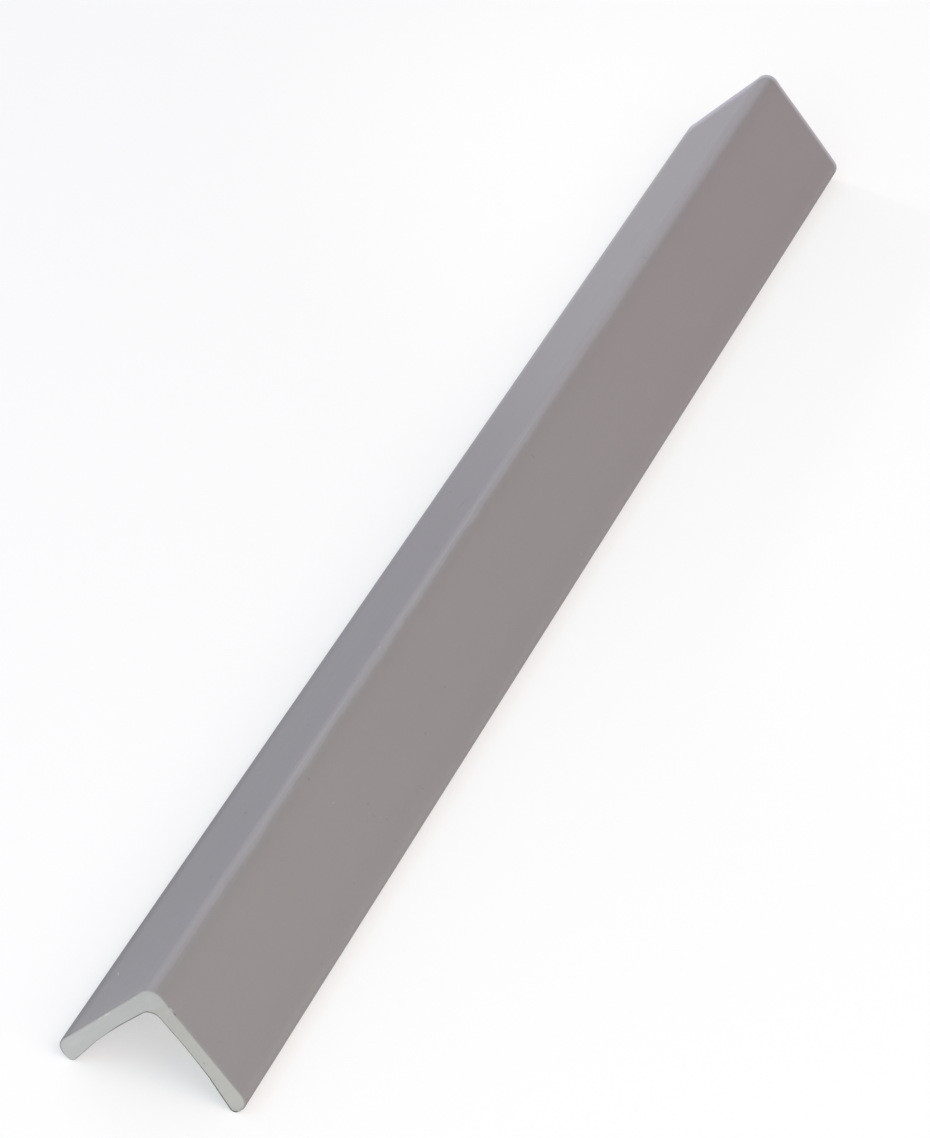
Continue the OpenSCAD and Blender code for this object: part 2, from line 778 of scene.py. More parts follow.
# Marks on the skin, measured along X from the near end and across as girth.
SKIN_MARKS = tuple(Spot(*row) for row in (
    (215.3, 9.7, 5.6, 3.8, 0.915, 1.0), (213.6, 10.2, 2.4, 1.8, 0.95, 0.4),
    (233.0, 25.5, 1.4, 3.2, 0.87, -1.0), (47.5, 8.4, 2.4, 2.8, 0.89, -1.2),
    (77.9, 14.9, 1.0, 1.9, 0.83, -1.0), (58.8, 6.0, 0.9, 1.3, 0.89, -1.0),
    (122.2, 6.8, 0.9, 1.4, 0.88, -1.0), (59.5, 18.8, 0.8, 1.4, 0.91, -1.0),
    (89.0, 15.6, 0.8, 1.4, 0.92, -1.0), (114.1, 12.6, 0.9, 1.6, 0.88, -1.0),
    (101.4, 25.0, 1.4, 5.2, 1.07, -0.5), (20.3, 27.1, 0.7, 2.0, 1.95, -1.15),
    (126.4, 1.7, 0.6, 1.0, 0.85, -0.8), (141.4, 0.8, 0.8, 0.7, 1.24),
    (210.0, 0.1, 0.9, 1.2, 0.90), (339.3, 0.3, 1.4, 2.2, 0.88),
    (87.0, -3.2, 1.0, 1.0, 0.78), (238.9, -5.1, 0.8, 2.6, 0.85, 0.35),
    (132.5, -23.6, 1.0, 1.0, 0.80), (149.9, -21.0, 0.9, 0.9, 0.82),
    (98.6, -20.8, 0.9, 0.7, 0.82), (98.0, -22.2, 0.8, 0.6, 0.90),
    (97.3, -23.5, 1.0, 0.6, 0.89), (97.8, -24.3, 0.8, 0.6, 0.85),
    (94.2, -23.3, 1.4, 0.6, 0.94), (99.4, -23.6, 1.0, 0.5, 0.92),
    (99.0, -25.9, 0.8, 0.7, 1.15), (100.5, -27.7, 0.8, 0.6, 0.88),
    (98.2, -33.2, 0.9, 0.8, 0.87), (49.3, -34.2, 1.3, 1.0, 0.89),
    (76.3, -29.6, 0.9, 0.8, 0.88), (118.6, -31.6, 0.9, 0.8, 0.89),
    (5.5, -22.3, 0.8, 0.8, 0.91), (88.6, -12.4, 0.7, 0.7, 1.20),
    (97.5, -7.0, 0.7, 0.7, 1.12), (120.3, -22.8, 0.7, 0.7, 1.08),
    (154.7, -28.1, 0.8, 0.8, 1.11), (229.8, -33.8, 0.9, 0.9, 1.16),
    (112.0, -30.6, 22.0, 3.2, 0.968), (104.0, -27.6, 12.0, 3.0, 0.98),
    # The dark mark at the near end at girth -8.5 is painted shadow beside the chip.
    (0.0, -8.5, 0.7, 0.9, 0.60), (0.0, -6.0, 0.5, 0.5, 0.75),
))

# Marks on the near cut, measured along as p, positive on the left leg, and across as q.
CUT_MARKS = tuple(Spot(*row) for row in (
    # The dark mark at p -9.6 on the outer edge is painted shadow beside the chip.
    (-24.4, 3.1, 0.7, 1.0, 0.74), (-29.8, 3.7, 0.7, 0.8, 0.91), (-9.6, 0.15, 1.0, 0.9, 0.50),
    (-7.1, 0.2, 0.6, 0.7, 0.70), (-6.1, 3.0, 0.7, 4.6, 1.045), (-8.1, 2.0, 1.1, 4.6, 1.04),
    (-12.7, 2.6, 0.8, 3.2, 1.03), (-11.4, 2.4, 0.7, 3.6, 1.02), (-7.2, 3.2, 1.2, 3.6, 0.975),
    # The lighter marks on the left leg's outer edge, at p 7.5 and from p 17.3 to 21.3, are painted
    # highlights.
    (7.5, 0.7, 0.5, 0.9, 1.22), (18.7, 0.6, 3.4, 0.5, 1.34), (21.3, 0.6, 2.4, 0.4, 1.24),
    (17.3, 0.25, 0.6, 0.5, 1.20), (22.2, 0.15, 0.9, 0.4, 0.75), (35.0, 0.2, 2.2, 0.5, 1.12),
    (-40.3, 3.2, 4.6, 6.4, 0.76), (4.2, 2.8, 3.6, 2.4, 1.035), (33.5, 2.2, 8.0, 2.0, 1.03),
    (10.5, 3.4, 7.0, 0.8, 1.02), (14.0, 1.6, 9.0, 0.7, 0.985),
))


def marked(nodes: NodeTree, along: Socket, across: Socket, marks: tuple[Spot, ...]) -> Socket:
    """Works out the tone that small marks give to a surface: 1 plus what each adds.

    Args:
        nodes: The material's tree.
        along: First coordinate of the surface.
        across: Second coordinate of the surface.
        marks: The marks.

    Returns:
        The tone.
    """
    total: Value = 1.0
    for mark in marks:
        spot = nodes.place(
            spot_group(), Along=along, Across=across, Middle_along=mark.along * MM,
            Middle_across=mark.across * MM, Half_length=mark.length * MM / 2,
            Half_breadth=mark.breadth * MM / 2, Slant=mark.slant,
        )
        total = nodes.line(spot, mark.tone - 1.0, total)
    return total


@dataclass(frozen=True)
class SkinFinish:
    """Satin skin of the trim: smooth grey plastic with draw lines and a creased fold, with painted
    light and shade on the fold, the rims and the ends.

    A curve of tones is made of pairs: a girth in millimetres, or for the painted highlight at the
    near end of the left leg a distance from the near end, and the tone there. A change or an edge
    has two lengths between which one look goes over to the other. The painted highlight along the
    far edge has the distances where it is solid and gone.
    """

    colour: Colour = (0.280, 0.265, 0.272)
    core_colour: Colour = (0.42, 0.41, 0.39)
    # Painted highlight along the far edge of the outer skin: its colour, its band and its ragged
    # border.
    far_edge_highlight_colour: Colour = (0.47, 0.455, 0.51)
    far_right_highlight_band: Lengths = mm(0.5, 2.2)
    far_left_highlight_band: Lengths = mm(0.9, 7.8)
    highlight_band_change: Lengths = mm(-1, 8)
    highlight_band_raggedness: float = 0.15 * MM
    # Painted light that changes along the right leg.
    near_tint: Colour = (1.018, 1.045, 1.03)
    far_tint: Colour = (1.02, 0.985, 0.99)
    tint_length: float = 430 * MM
    tint_edge: Lengths = mm(-2.2, -0.6)
    # Painted highlight on the left leg close to the near end.
    near_left_highlight: Stops = (
        (0.0, 1.2), (0.8, 1.155), (2.0, 1.13), (4.5, 1.10), (9.0, 1.07), (20.0, 1.035),
        (40.0, 1.01), (60.0, 1.0),
    )
    near_left_highlight_edge: Lengths = mm(0.8, 3.5)
    roughness: float = 0.55
    rough_swing: float = 0.08
    specular: float = 0.4
    # Painted highlight over the top of the fold and painted shade beside it, near and far.
    fold_light_near: Stops = (
        (-8.0, 1.0), (-5.0, 0.985), (-4.0, 0.97), (-3.0, 0.94), (-2.5, 0.92), (-2.0, 0.915),
        (-1.6, 0.93), (-1.25, 0.96), (-1.05, 1.02), (-0.5, 1.07), (0.0, 1.105), (0.5, 1.12),
        (1.0, 1.11), (1.5, 1.08), (2.0, 1.05), (2.7, 1.02), (4.0, 1.0),
    )
    fold_light_far: Stops = (
        (-8.0, 1.0), (-5.0, 0.985), (-4.0, 0.97), (-3.0, 0.955), (-2.5, 0.94), (-2.0, 0.935),
        (-1.6, 0.955), (-1.0, 1.0), (-0.5, 1.03), (0.0, 1.04), (0.5, 1.025), (1.0, 0.99),
        (2.0, 0.955), (3.0, 0.965), (5.0, 1.0),
    )
    fold_change: Lengths = mm(200, 295)
    # Painted shade on the left rim at the near end, going over to a painted highlight towards the
    # far end.
    left_rim_near_shade: Stops = (
        (29.0, 1.0), (30.5, 0.975), (31.5, 0.92), (32.5, 0.85), (33.5, 0.79), (34.5, 0.72),
        (36.0, 0.64), (40.0, 0.58),
    )
    left_rim_far_highlight: Stops = (
        (29.0, 1.0), (31.5, 1.0), (32.5, 1.05), (33.5, 1.14), (34.5, 1.23), (36.0, 1.25),
        (40.0, 1.25),
    )
    rim_change: Lengths = mm(24, 360)
    # Painted highlight on the right rim, lightest over the nose.
    right_rim_highlight: Stops = (
        (-40.0, 1.13), (-36.5, 1.13), (-35.2, 1.03), (-34.4, 0.995), (-31.5, 0.985),
        (-28.0, 0.995), (-24.0, 1.0),
    )
    # How much cooler the painted highlight on the fold is.
    sheen_coolness: float = 0.3
    ragged: float = 0.8 * MM
    ragged_scale: float = 170.0
    ragged_edge: Lengths = mm(-0.4, 1.0)
    ridge_lines: Lengths = mm(0.75, 0.35, -0.15, -0.6)
    ridge_seed: float = 3.0
    ridge_height: float = 0.012 * MM
    ridge_start: Lengths = mm(15, 65)
    mottle: float = 0.035
    line_height: float = 0.0015 * MM
    chip: Chip = Chip()
    chip_edge: tuple[float, float] = (0.1, 0.5)

    def material(self, start: float, stop: float) -> bpy.types.Material:
        """Builds the material.

        Args:
            start: X of the near end, from where the marks are measured.
            stop: X of the far end.

        Returns:
            The material.
        """
        made = bpy.data.materials.new("satin_skin")
        nodes = NodeTree.emptied(made)
        along, girth, _ = nodes.split(nodes.add("UVMap", uv_map=TrimBody.UNROLLED).outputs[0])
        from_end = nodes.minus(along, start)
        lines = nodes.place(draw_lines_group(), Along=along, Across=girth)
        clouds = nodes.place(mottle_group(), Place=nodes.object_place(), Amount=self.mottle)
        ridges = self.fine_ridges(nodes, from_end, girth)
        colour = nodes.tinted(
            self.colour, nodes.times(clouds, marked(nodes, from_end, girth, SKIN_MARKS)))
        # Painted light and shade on the fold and the two rims.
        colour = nodes.tinted(colour, self.painted_fold_and_rim_light(nodes, from_end, girth, ridges))
        # Painted light along the trim.
        colour = nodes.tinted(colour, self.painted_light_along_length(nodes, from_end, girth))
        # Painted highlight along the far edge of the outer skin.
        outside = nodes.math("LESS_THAN", girth, TrimBody.INNER_SHIFT / 2)
        solid, gone = (nodes.ramp(girth, *self.highlight_band_change, right, left)
                       for right, left in zip(self.far_right_highlight_band, self.far_left_highlight_band))
        painted_edge_highlight = nodes.place(band_group(), Distance=nodes.minus(stop, along), Solid=solid, Gone=gone,
                           Along=girth, Raggedness=self.highlight_band_raggedness)
        colour = nodes.mix(nodes.times(painted_edge_highlight, outside), colour, self.far_edge_highlight_colour)
        chip = nodes.place(spot_group(), Along=along, Across=girth, Middle_along=start,
                           Middle_across=self.chip.girth, Half_length=self.chip.reach,
                           Half_breadth=self.chip.half_width)
        colour = nodes.mix(nodes.ramp(chip, *self.chip_edge), colour, self.core_colour)
        rough = nodes.line(lines, self.rough_swing, self.roughness - self.rough_swing / 2)
        height = nodes.line(ridges, self.ridge_height, nodes.times(lines, self.line_height))
        nodes.plastic(Base_Color=colour, Roughness=rough, Specular_IOR_Level=self.specular,
                      Normal=nodes.bump(height))
        return made

    def painted_light_along_length(self, nodes: NodeTree, from_end: Socket, girth: Socket) -> Socket:
        """Works out the painted light that changes along the trim.

        The right leg's painted light goes from a slightly greener to a slightly redder grey, and
        the left leg has a painted highlight close to the near end.

        Args:
            nodes: The material's tree.
            from_end: Distance from the near end.
            girth: Girth over the skin.

        Returns:
            The tones of the three channels, around 1.
        """
        share = nodes.math("DIVIDE", from_end, self.tint_length, clamp=True)
        tint = nodes.mix(share, self.near_tint, self.far_tint)
        right = nodes.mix(nodes.ramp(girth, *self.tint_edge, 1.0, 0.0), WHITE, tint)
        lift = nodes.minus(nodes.tones(nodes.over(from_end, MM), self.near_left_highlight), 1.0)
        left = nodes.line(lift, nodes.ramp(girth, *self.near_left_highlight_edge), 1.0)
        return nodes.tinted(right, left)

    def fine_ridges(self, nodes: NodeTree, from_end: Socket, girth: Socket) -> Socket:
        """Lays fine wandering ridges over the top of the fold.

        Args:
            nodes: The material's tree.
            from_end: Distance from the near end, close to which the ridges fade.
            girth: Girth over the skin.

        Returns:
            Their height, between 0 and 1.
        """
        total: Value = 0.0
        for order, line in enumerate(self.ridge_lines):
            ridge = nodes.place(crease_group(), Along=from_end, Across=girth, Line=line,
                                Seed=self.ridge_seed * order)
            total = nodes.math("MAXIMUM", ridge, total)
        return nodes.times(total, nodes.ramp(from_end, *self.ridge_start))

    def painted_fold_and_rim_light(self, nodes: NodeTree, from_end: Socket, girth: Socket,
                  ridges: Socket) -> Socket:
        """Works out how much lighter or darker use has left the fold and the two rims.

        The top of the fold has a painted highlight, a little cooler, and its fine ridges are
        painted lighter still. On the right leg's side that band ends along the ridge, with a strip
        of painted shade beside it, and on the left leg's side it fades out. The left rim goes from
        painted shade, at the near end, to a painted highlight, at the far end, and the right rim
        has a painted highlight all along.

        Args:
            nodes: The material's tree.
            from_end: Distance from the near end.
            girth: Girth over the skin.
            ridges: Height of the fine ridges.

        Returns:
            The tones of the three channels, around 1.
        """
        fine = nodes.noise("1D", W=from_end, Scale=self.ragged_scale, Detail=3.0)
        ragged = nodes.times(nodes.minus(fine, NOISE_MIDDLE), self.ragged)
        shift = nodes.minus(ragged, nodes.attribute(TrimBody.RIDGE))
        on_right = nodes.ramp(girth, *self.ragged_edge, 1.0, 0.0)
        in_mm = nodes.over(nodes.line(shift, on_right, girth), MM)
        fold = nodes.fade(in_mm, self.fold_light_near, self.fold_light_far,
                          nodes.ramp(from_end, *self.fold_change))
        lift = nodes.math("MAXIMUM", nodes.minus(fold, 1.0), 0.0)
        # The fine ridges get painted highlights on top of the fold's.
        fold = nodes.line(ridges, lift, fold)
        painted_left_rim = nodes.fade(in_mm, self.left_rim_near_shade, self.left_rim_far_highlight,
                              nodes.ramp(from_end, *self.rim_change))
        tone = nodes.times(fold, nodes.times(painted_left_rim, nodes.tones(in_mm, self.right_rim_highlight)))
        cool = nodes.times(tone, nodes.line(lift, self.sheen_coolness, 1.0))
        return nodes.vector(tone, cool, cool)


@dataclass(frozen=True)
class CutFinish:
    """Sawn end of the trim: pale, fine foam inside a thin, darker skin.

    A band has the depths where it is solid and gone. Where the inner band is wider, the rows say
    from where to where along the leg, and by how much at either end. The end lift says from where
    to where the tone rises, and its two tones. Pairs of scales run along the lines and across
    them, or from coarse to fine.
    """

    left_colour: Colour = (0.556, 0.561, 0.550)
    right_colour: Colour = (0.539, 0.536, 0.499)
    left_skin: Colour = (0.385, 0.375, 0.39)
    right_skin: Colour = (0.32, 0.315, 0.305)
    # Inner skin ring, painted much darker as shade.
    inner_skin_and_shade: Colour = (0.06, 0.06, 0.055)
    side_change: Lengths = mm(-7.0, -5.6)
    skin_band: Lengths = mm(0.1, 0.75)
    inner_skin_and_shade_band: Lengths = mm(0.12, 0.4)
    wider_right: Lengths = mm(-34, -20, 0.15, 0.0)
    wider_left: Lengths = mm(18, 30, 0.0, -0.35)
    wider_corner: Lengths = mm(1, 2.2, 0.1, 0.0)
    raggedness: float = 0.05 * MM
    roughness: float = 0.6
    mottle: float = 0.03
    mottle_scales: tuple[float, float] = (150.0, 2500.0)
    streak: float = 0.09
    left_streaks: tuple[float, float] = (70.0, 1400.0)
    right_streaks: tuple[float, float] = (60.0, 700.0)
    end_lift: tuple[float, ...] = (4 * MM, 36 * MM, 0.96, 1.04)
    saw_lines: tuple[float, float] = (60.0, 1800.0)
    saw_height: float = 0.012 * MM
    cell_scale: float = 2600.0
    cell_height: float = 0.02 * MM
    chip: Chip = Chip()
    chip_height: float = 0.8 * MM
    corner_surplus: float = 1.1 * MM

    def material(self) -> bpy.types.Material:
        """Builds the material.

        The left leg and the corner are a little cooler than the right leg. On the near cut the
        dark ring inside is the inner skin, painted much darker as shade. It is wider, as painted
        shade of the inner faces, at the corner and at the end of the right leg, and narrower at the
        end of the left leg. The chip's p is further from the fold than its girth, by the corner
        surplus.

        Returns:
            The material.
        """
        made = bpy.data.materials.new("sawn_foam")
        nodes = NodeTree.emptied(made)
        spot = nodes.object_place()
        x, y, z = nodes.split(spot)
        place, depth, inner = (
            nodes.attribute(name)
            for name in (TrimBody.LEG_PLACE, TrimBody.OUTER_DEPTH, TrimBody.INNER_DEPTH)
        )
        signed = nodes.times(place, nodes.math("SIGN", y))
        near = nodes.math("LESS_THAN", x, 0.0)
        side = nodes.ramp(signed, *self.side_change)
        colour = nodes.mix(side, self.right_colour, self.left_colour)
        skin = nodes.mix(side, self.right_skin, self.left_skin)
        chip = nodes.place(
            spot_group(), Along=signed, Across=depth, Half_length=self.chip.half_width,
            Middle_along=self.chip.girth - self.corner_surplus, Half_breadth=self.chip_height,
        )
        whole = nodes.minus(1.0, nodes.times(chip, near))
        ring = self.ring(nodes, depth, signed, self.skin_band)
        colour = nodes.mix(nodes.times(ring, whole), colour, skin)
        # Painted shade of the inner faces widens the inner ring at the corner and at the right
        # leg's end.
        wider = nodes.plus(nodes.ramp(signed, *self.wider_right),
                           nodes.ramp(signed, *self.wider_left))
        corner = nodes.ramp(nodes.math("ABSOLUTE", y), *self.wider_corner)
        more = nodes.times(nodes.plus(wider, corner), near)
        under = self.ring(nodes, nodes.minus(inner, more), signed, self.inner_skin_and_shade_band)
        colour = nodes.mix(under, colour, self.inner_skin_and_shade)
        colour = nodes.tinted(colour, self.tone(nodes, spot, (place, signed, depth, side, near)))
        saw = self.lines(nodes, y, z, self.saw_lines)
        cells = nodes.noise(Vector=spot, Scale=self.cell_scale)
        height = nodes.plus(nodes.times(saw, self.saw_height),
                            nodes.times(cells, self.cell_height))
        nodes.plastic(Base_Color=colour, Roughness=self.roughness, Normal=nodes.bump(height))
        return made

    def ring(self, nodes: NodeTree, depth: Socket, signed: Socket, band: Lengths) -> Socket:
        """Lays a ring along the edge of the cut, by the depths where it is solid and gone."""
        return nodes.place(band_group(), Distance=depth, Solid=band[0], Gone=band[1],
                           Along=signed, Raggedness=self.raggedness)

    @staticmethod
    def lines(nodes: NodeTree, along: Socket, across: Socket,
              scales: tuple[float, float]) -> Socket:
        """Lays fine lines, with a scale along them and a scale across them."""
        return nodes.place(draw_lines_group(), Along=along, Across=across, Along_scale=scales[0],
                           Across_scale=scales[1])

    def tone(self, nodes: NodeTree, spot: Socket, leg: tuple[Socket, ...]) -> Socket:
        """Works out how light the foam is: clouds, streaks, marks and paler leg ends.

        The streaks run along the left leg, and through the wall on the right one.

        Args:
            nodes: The material's tree.
            spot: Object coordinates.
            leg: Place p, the same with the leg's sign, depth q, share of the left leg and share of
                the near end.

        Returns:
            The tone, around 1.
        """
        place, signed, depth, side, near = leg
        coarse, fine = self.mottle_scales
        cloud = nodes.place(mottle_group(), Place=spot, Coarse=coarse, Fine=fine,
                            Amount=self.mottle)
        on_left = nodes.times(self.lines(nodes, place, depth, self.left_streaks), side)
        streaks = nodes.line(self.lines(nodes, depth, place, self.right_streaks),
                             nodes.minus(1.0, side), on_left)
        swing = nodes.times(nodes.minus(streaks, NOISE_MIDDLE), self.streak)
        tone = nodes.plus(cloud, swing)
        marks = nodes.minus(marked(nodes, signed, depth, CUT_MARKS), 1.0)
        return nodes.times(nodes.line(marks, near, tone), nodes.ramp(place, *self.end_lift))


@dataclass
class TrimBody:
    """The whole trim as one closed mesh: a block bent round the section and carried along X.

    The block has three counts: u steps from the end of the right leg over the fold to the end of
    the left one, v steps from the outer skin through the wall to the inner one, and w steps along
    the length. Only the block's six outer sheets are made.
    """

    UNROLLED = "Unrolled"
    OUTER_DEPTH = "outer_depth"
    INNER_DEPTH = "inner_depth"
    RIDGE = "ridge_shift"
    LEG_PLACE = "leg_place"
    INNER_SHIFT = 90 * MM
    RIM_SHIFTS = mm(150, 170)
    CUT_SHIFTS = mm(210, 260)

    section: TrimSection
    relief: Relief
    chip: Chip
    start: float
    stop: float
    floor: float
    wall_steps: int = 8
    length_steps: int = 360
    end_crowding: float = 1.6
    arris: float = 0.15 * MM
    arris_steps: int = 2

    def stations(self) -> tuple[np.ndarray, np.ndarray]:
        """Places the stations along the length.

        A quarter circle of the arris' radius starts and ends the row: its place is r (1 - cos a)
        and its inset r (1 - sin a). Between them the place is half the length times
        tanh(b t) / tanh(b), which draws the stations towards both ends.

        Returns:
            X of each station and how far the outline lies inwards there.
        """
        angle = np.linspace(0.0, QUARTER_TURN, self.arris_steps + 1)[:-1]
        back = self.arris * (1 - np.cos(angle))
        inset = self.arris * (1 - np.sin(angle))
        half = (self.stop - self.start) / 2 - self.arris
        share = np.linspace(-1.0, 1.0, self.length_steps - 2 * self.arris_steps + 1)
        spread = np.tanh(self.end_crowding * share) / math.tanh(self.end_crowding)
        middle = (self.start + self.stop) / 2 + half * spread
        place = np.concatenate([self.start + back, middle, self.stop - back[::-1]])
        return place, np.concatenate([inset, np.zeros(len(middle)), inset[::-1]])

    def build(self) -> bpy.types.Object:
        """Makes the mesh with its attributes and UV map.

        The outline at each station is the section moved in by the inset and the relief. Between
        the two skins a point is the outer one times (1 - t) plus the inner one times t.

        Returns:
            The object, at the origin.
        """
        outer = self.section.both_legs(self.section.outer_chain())
        inner = self.section.both_legs(self.section.inner_chain())
        girth, inner_girth = outer.girth(), inner.girth()
        place, inset = self.stations()
        lift = self.floor + self.section.lip_drop()
        chipped = self.chip.mask(place - self.start, girth) * self.chip.depth
        outside = outer.moved_in(inset[None, :] + self.relief.depth(place, girth) + chipped)
        hollow = self.relief.hollow(inner_girth)[:, None]
        inside = inner.moved_in(inset[None, :] + hollow)
        through = np.linspace(0.0, 1.0, self.wall_steps + 1)[None, :, None, None]
        plane = outside[:, None] * (1 - through) + inside[:, None] * through
        plane[..., 1] += lift
        x = np.broadcast_to(place[None, None, :, None], plane.shape[:-1] + (1,))
        points = np.concatenate([x, plane], axis=-1)
        ids = self.shell_ids(points.shape[:3])
        shown = ids >= 0
        quads, slots, unrolled = self.sheets(ids, points, girth, inner_girth)
        made = in_scene("corner_trim_body", bpy.data.meshes.new("corner_trim_body"))
        mesh = made.data
        mesh.from_pydata(points[shown], [], quads)
        mesh.polygons.foreach_set("material_index", slots)
        mesh.polygons.foreach_set("use_smooth", slots == Surface.SKIN.value)
        mesh.uv_layers.new(name=self.UNROLLED).data.foreach_set("uv", unrolled.ravel())
        flat = points[shown][:, 1:] - np.array([0.0, lift])
        across = np.stack([np.abs(flat[:, 0]), flat[:, 1]], axis=1)
        drawn_in = Chain(inner.points - hollow * inner.normals, inner.normals)
        line, _ = self.relief.ridge_line(place)
        shift = np.broadcast_to(line[None] - self.relief.ridge_place, ids.shape)
        for name, values in {
            self.OUTER_DEPTH: outer.distance(flat),
            self.INNER_DEPTH: drawn_in.distance(flat),
            self.RIDGE: shift[shown],
            self.LEG_PLACE: across @ self.section.axes(Leg.LEFT)[0],
        }.items():
            attribute = mesh.attributes.new(name, "FLOAT", "POINT")
            attribute.data.foreach_set("value", values.astype(np.float32))
        mesh.update()
        return made

    @staticmethod
    def shell_ids(shape: tuple[int, int, int]) -> np.ndarray:
        """Numbers the points on the outside of the block.

        Args:
            shape: Number of points in the three directions.

        Returns:
            The numbers, with -1 for the points inside.
        """
        outside = np.ones(shape, bool)
        outside[1:-1, 1:-1, 1:-1] = False
        ids = np.full(shape, -1)
        ids[outside] = np.arange(outside.sum())
        return ids

    @staticmethod
    def quads_of(sheet: np.ndarray, flip: bool) -> np.ndarray:
        """Joins the points of a sheet of numbers to four-sided faces.

        Args:
            sheet: Numbers, or anything else that is laid out like them, in two directions.
            flip: True to turn the faces round.

        Returns:
            Rows of four corners.
        """
        corners = [sheet[:-1, :-1], sheet[1:, :-1], sheet[1:, 1:], sheet[:-1, 1:]]
        if flip:
            corners.reverse()
        return np.stack(corners, axis=2).reshape((-1, 4) + sheet.shape[2:])

    @staticmethod
    def paired(first: np.ndarray, second: np.ndarray) -> np.ndarray:
        """Lays two coordinates out over the same sheet, as pairs."""
        return np.stack(np.broadcast_arrays(first, second), axis=-1)

    def sheets(self, ids: np.ndarray, points: np.ndarray, outer_girth: np.ndarray,
               inner_girth: np.ndarray) -> tuple[np.ndarray, np.ndarray, np.ndarray]:
        """Makes the faces of the six sheets, with their slots and their unrolled places.

        The unrolled place is (X, girth) on the outer skin. Each other sheet is moved along the
        second axis, past the one before, so that no two overlap.

        Args:
            ids: Numbers of the block's points.
            points: Places of the block's points.
            outer_girth: Girth of each u step, outside.
            inner_girth: Girth of each u step, inside.

        Returns:
            The faces, the slot of each face, and the unrolled place of each face's corners.
        """
        x = points[:, 0, :, 0]
        across = np.linspace(0.0, self.section.end_thickness, ids.shape[1])[:, None]
        ends = ((0, True), (-1, False))
        rows = [
            (ids[:, 0], self.paired(x, outer_girth[:, None]), False, Surface.SKIN),
            (ids[:, -1], self.paired(x, inner_girth[:, None] + self.INNER_SHIFT), True,
             Surface.SKIN),
        ]
        for (end, flip), shift in zip(ends, self.RIM_SHIFTS):
            rows.append((ids[end], self.paired(x[end], across + shift), flip, Surface.SKIN))
        for (end, flip), shift in zip(ends, self.CUT_SHIFTS):
            face = points[:, :, end, 1:] + np.array([0.0, shift])
            rows.append((ids[:, :, end], face, flip, Surface.CUT))
        quads = [self.quads_of(sheet, flip) for sheet, _, flip, _ in rows]
        slots = [np.full(len(q), row[3].value, np.int32) for q, row in zip(quads, rows)]
        maps = [self.quads_of(place, flip).reshape(-1, 2) for _, place, flip, _ in rows]
        return np.concatenate(quads), np.concatenate(slots), np.concatenate(maps)


@dataclass
class CladdingTrim:
    """The dressed trim: its body with the satin skin and the sawn ends."""

    section: TrimSection
    skin: SkinFinish
    cut: CutFinish

    def make(self) -> bpy.types.Object:
        """Builds the body, dresses it and puts it in place of the plain solid.

        Returns:
            The finished piece.
        """
        low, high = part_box(NODE)
        body = TrimBody(self.section, Relief(), self.skin.chip, low.x, high.x, low.z)
        piece = body.build()
        piece.data.materials.append(self.skin.material(low.x, high.x))
        piece.data.materials.append(self.cut.material())
        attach(piece, "root")
        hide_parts(NODE)
        return piece


def white_to_sight(nodes: NodeTree) -> Socket:
    """Adds the share of rays that look at the background: camera, mirror and glass rays.

    Args:
        nodes: The tree of a floor or world.

    Returns:
        1 for such a ray and 0 for one that carries light to the object.
    """
    path = nodes.add("LightPath").outputs
    sight = nodes.plus(path["Is Camera Ray"], path["Is Glossy Ray"])
    return nodes.math("ADD", sight, path["Is Transmission Ray"], clamp=True)


@dataclass(frozen=True)
class Floor:
    """White floor that keeps the trim's soft shadow.

    To sight it glows as well, and more so far from the trim, where the lamps don't reach.
    """

    half_size: float = 6.0
    albedo: float = 0.45
    near_glow: float = 0.55
    far_glow: float = 1.0
    glow_start: float = 0.4
    glow_stop: float = 1.6

    def make(self, height: float) -> bpy.types.Object:
        """Makes the floor.

        Args:
            height: Z of the floor.

        Returns:
            The floor.
        """
        half = self.half_size
        mesh = bpy.data.meshes.new("floor")
        corners = [(-half, -half, height), (half, -half, height), (half, half, height),
                   (-half, half, height)]
        mesh.from_pydata(corners, [], [(0, 1, 2, 3)])
        material = bpy.data.materials.new("white_floor")
        nodes = NodeTree.emptied(material)
        matt = nodes.add("BsdfDiffuse", (self.albedo, self.albedo, self.albedo))
        away = nodes.add("VectorMath", nodes.object_place(), operation="LENGTH")
        level = nodes.ramp(away.outputs["Value"], self.glow_start, self.glow_stop, self.near_glow,
                           self.far_glow)
        glow = nodes.add("Emission", WHITE, nodes.times(white_to_sight(nodes), level))
        both = nodes.add("AddShader", matt.outputs[0], glow.outputs[0])
        nodes.add("OutputMaterial", both.outputs[0])
        mesh.materials.append(material)
        made = in_scene("floor", mesh)
        return made


class LampKind(Enum):
    """Kinds of studio lamp, by Blender's name."""

    SOFTBOX = "AREA"
    SPOT = "SPOT"


@dataclass(frozen=True)
class Lamp:
    """A studio lamp: a square softbox, or a spot with a soft-edged beam."""

    name: str
    place: tuple[float, float, float]
    power: float
    colour: Colour = WHITE
    aim: tuple[float, float, float] = (0.0, 0.0, 0.0)
    size: float = 1.4
    kind: LampKind = LampKind.SOFTBOX
    beam: float = 30.0
    beam_edge: float = 0.45

    def make(self) -> bpy.types.Object:
        """Hangs the lamp at its place and turns it to its aim.

        Returns:
            The lamp.
        """
        light = bpy.data.lights.new(self.name, self.kind.value)
        light.energy = self.power
        light.color = self.colour
        if self.kind is LampKind.SPOT:
            light.shadow_soft_size = self.size
            light.spot_size = math.radians(self.beam)
            light.spot_blend = self.beam_edge
        else:
            light.shape = "SQUARE"
            light.size = self.size
        made = in_scene(self.name, light)
        made.location = self.place
        sight = Vector(self.aim) - Vector(self.place)
        made.rotation_euler = sight.to_track_quat("-Z", "Y").to_euler()
        made.visible_camera = False
        return made


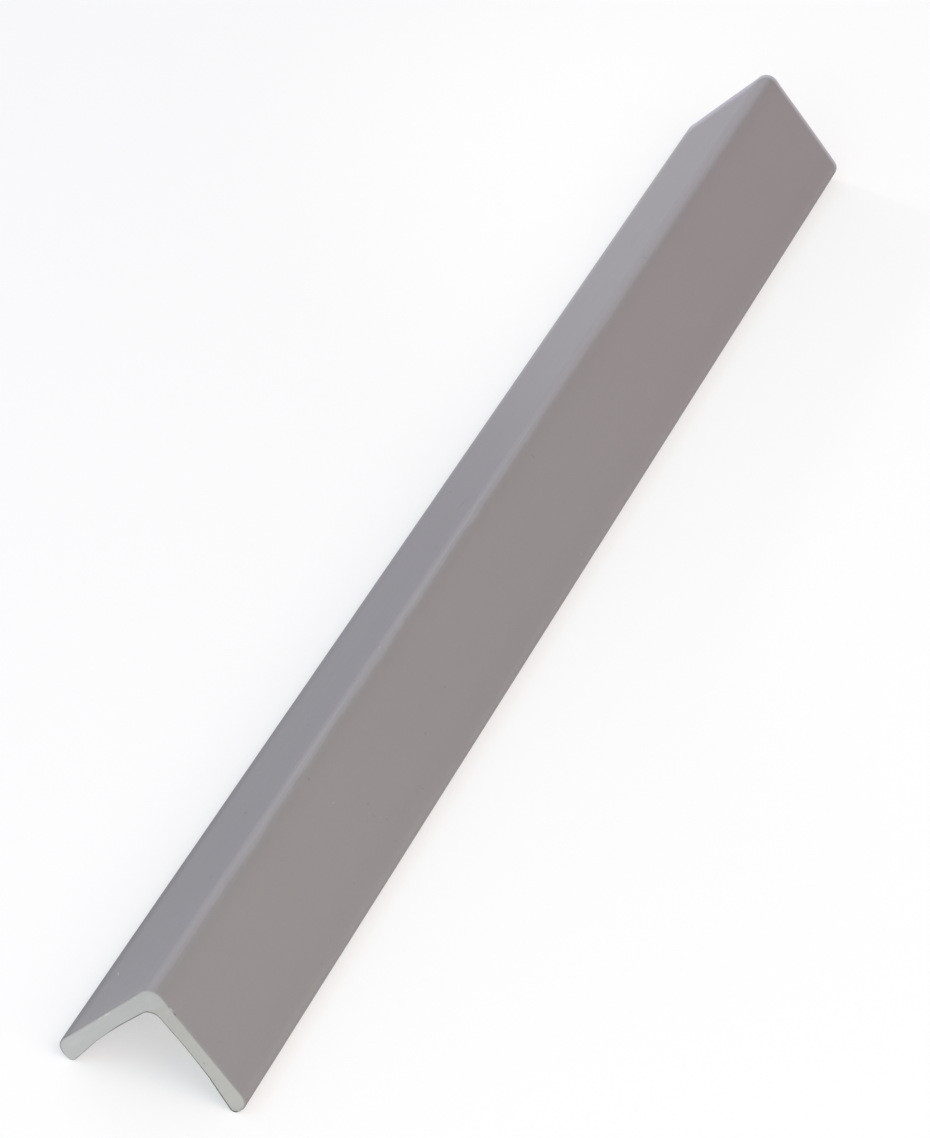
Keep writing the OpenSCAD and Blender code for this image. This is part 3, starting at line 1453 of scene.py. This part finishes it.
@dataclass(frozen=True)
class Studio:
    """Plain pale studio: white floor and world, and soft lamps."""

    world_level: float = 0.41
    floor: Floor = Floor()
    lamps: tuple[Lamp, ...] = (
        Lamp("lamp_right_high", (-0.643, -1.113, 1.532), 22.3, (1.0, 0.86, 0.80)),
        Lamp("lamp_left_far", (1.329, 1.329, 0.684), 7.2, (0.95, 0.79, 1.0)),
        Lamp("lamp_left_near", (-0.909, 0.909, 1.532), 6.9, (0.27, 0.69, 1.0)),
        Lamp("lamp_front", (-1.879, 0.0, 0.684), 11.0),
        Lamp("lamp_left_beam", (0.288, 0.507, 0.261), 2.54, (0.99, 1.0, 0.95),
             (0.227, 0.0, 0.171), 0.03, LampKind.SPOT, 52.9),
    )

    def make(self, height: float) -> list[bpy.types.Object]:
        """Builds the world, the floor and the lamps.

        Args:
            height: Z of the floor.

        Returns:
            The floor and the lamps.
        """
        world = bpy.data.worlds.new("studio")
        bpy.context.scene.world = world
        nodes = NodeTree.emptied(world)
        soft = nodes.add("Background", WHITE, self.world_level)
        white = nodes.add("Background", WHITE)
        both = nodes.add("MixShader", white_to_sight(nodes), soft.outputs[0], white.outputs[0])
        nodes.add("OutputWorld", both.outputs[0])
        return [self.floor.make(height), *(lamp.make() for lamp in self.lamps)]


@dataclass(frozen=True)
class PhotoCamera:
    """Camera at the photograph's viewing angle, looking along the trim from above its near end."""

    aim: tuple[float, float, float] = (-0.02404, 0.00032, 0.015)
    distance: float = 1.23687
    heading: float = math.radians(20.436)
    elevation: float = math.radians(38.271)
    roll: float = math.radians(2.632)
    lens: float = 143.57
    sensor: float = 36.0

    def make(self) -> bpy.types.Object:
        """Creates the camera and makes it the scene's.

        Returns:
            The camera.
        """
        forward = Vector((
            math.cos(self.elevation) * math.cos(self.heading),
            math.cos(self.elevation) * math.sin(self.heading),
            -math.sin(self.elevation),
        ))
        right = forward.cross(Vector((0.0, 0.0, 1.0))).normalized()
        up = right.cross(forward)
        rolled_right = right * math.cos(self.roll) + up * math.sin(self.roll)
        rolled_up = up * math.cos(self.roll) - right * math.sin(self.roll)
        data = bpy.data.cameras.new("photo_camera")
        data.sensor_width = self.sensor
        data.lens = self.lens
        made = in_scene("photo_camera", data)
        turn = Matrix((rolled_right, rolled_up, -forward)).transposed()
        made.rotation_mode = "QUATERNION"
        made.rotation_quaternion = turn.to_quaternion()
        made.location = Vector(self.aim) - forward * self.distance
        bpy.context.scene.camera = made
        return made


def main() -> None:
    """Builds the camera, the studio and the trim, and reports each."""
    bpy.context.scene.view_settings.view_transform = "Standard"
    camera = PhotoCamera().make()
    low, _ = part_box(NODE)
    studio = Studio().make(low.z)
    trim = CladdingTrim(TrimSection(), SkinFinish(), CutFinish()).make()
    for piece in (camera, *studio):
        log.info("%s stands at %s", piece.name, tuple(piece.location))
    log.info("%s stands for %s, with %d points and %d quads", trim.name, NODE,
             len(trim.data.vertices), len(trim.data.polygons))


if __name__ == "__main__":
    main()
